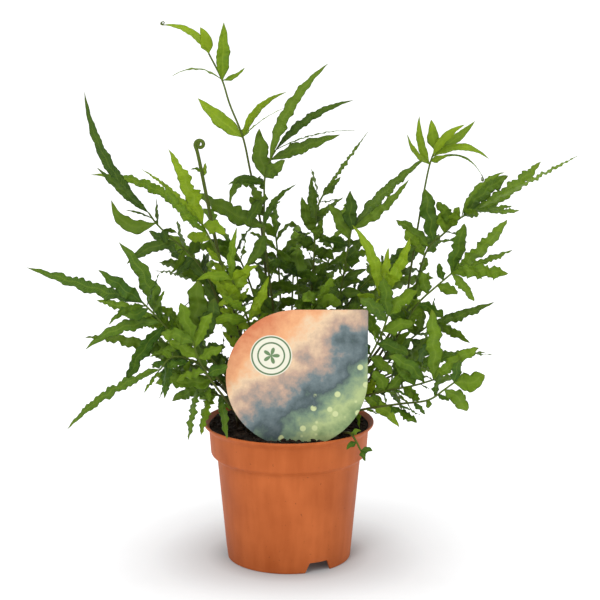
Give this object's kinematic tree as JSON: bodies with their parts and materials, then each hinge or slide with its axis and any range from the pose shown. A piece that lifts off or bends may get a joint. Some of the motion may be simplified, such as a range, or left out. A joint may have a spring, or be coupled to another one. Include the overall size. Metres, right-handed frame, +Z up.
{
  "type": "potted silver lace fern",
  "caption": "Lace fern with wiry stems and narrow waved leaflets, growing from soil in a round plastic nursery pot with a drop-shaped card label.",
  "frame": {"origin": "centre of the pot's underside, on the flat centre pad", "axes": "+Z up, -Y towards the front of the label"},
  "size_m": [0.3753, 0.2256, 0.3802],
  "materials": {
    "pot": "satin",
    "soil": "matte",
    "label": "satin",
    "frond_old": "satin",
    "frond": "satin",
    "frond_young": "satin"
  },
  "bodies": {
    "root": {"pot": "pot", "soil": "soil", "label": "label", "frond_tall_left": "frond_young", "frond_upper_centre": "frond_old", "frond_fiddlehead": "frond_young", "frond_light_left": "frond_young", "frond_far_left_upper": "frond_old", "frond_left_long": "frond", "frond_low_left": "frond", "frond_broad_left": "frond_old", "frond_bright_centre": "frond_young", "frond_centre_dark": "frond_old", "frond_centre_right": "frond_old", "frond_dark_right": "frond_old", "frond_bright_right": "frond_young", "frond_tall_right": "frond_young", "frond_right_big": "frond", "frond_right_mid": "frond", "frond_right_back": "frond_old", "frond_right_front": "frond", "frond_low_right": "frond", "frond_right_inner": "frond", "frond_left_inner": "frond", "frond_rim_sprig": "frond", "frond_soil_sprig": "frond_young", "frond_hanging_right": "frond_young", "frond_back_left_low": "frond", "frond_back_left": "frond_old", "frond_back_left_inner": "frond", "frond_back_centre": "frond", "frond_back_right_inner": "frond", "frond_back_right": "frond_old", "frond_back_right_low": "frond", "frond_front_left_low": "frond", "frond_left_low": "frond_old", "frond_right_low": "frond", "frond_crown_left": "frond", "frond_crown_front": "frond", "frond_crown_right": "frond_old", "frond_crown_back": "frond"}
  },
  "joints": []
}
